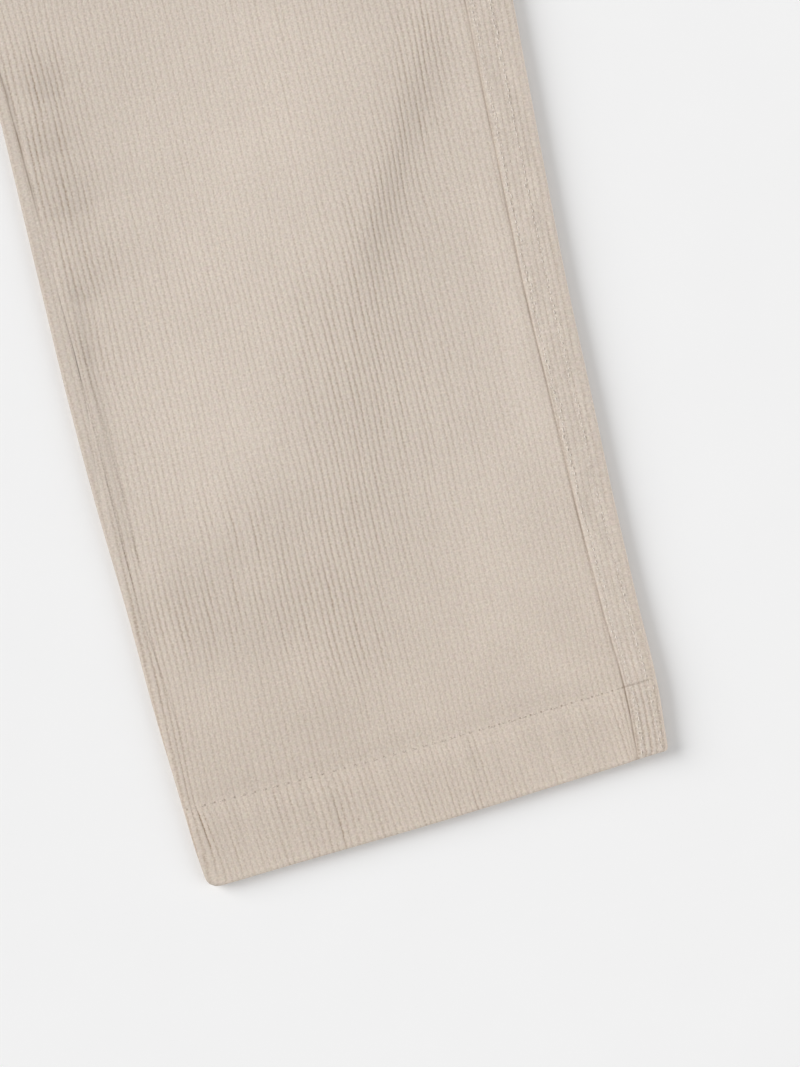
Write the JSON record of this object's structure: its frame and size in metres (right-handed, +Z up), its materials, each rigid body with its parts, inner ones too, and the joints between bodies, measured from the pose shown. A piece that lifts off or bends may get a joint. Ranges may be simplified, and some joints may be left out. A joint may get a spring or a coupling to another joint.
{
  "type": "corduroy trousers",
  "caption": "Corduroy trousers lying flat, front side up, legs slightly apart: felled outseams, turned-up hems, lapped fly, buttoned waistband.",
  "frame": {"origin": "middle of the bounding box, on the surface that the trousers lie on", "axes": "+X to the wearer's left, +Y from the hems to the waist, +Z up from the surface, out of the front side"},
  "size_m": [0.5742, 1.0806, 0.0126],
  "materials": {
    "corduroy": "cream eleven-wale cotton corduroy, matt pile",
    "corduroy_band": "the same corduroy, doubled",
    "button": "satin horn-coloured polyester"
  },
  "bodies": {
    "root": {"front_left": "corduroy", "front_right": "corduroy", "back_left": "corduroy", "back_right": "corduroy", "waistband": "corduroy_band", "waist_button": "button"}
  },
  "joints": []
}
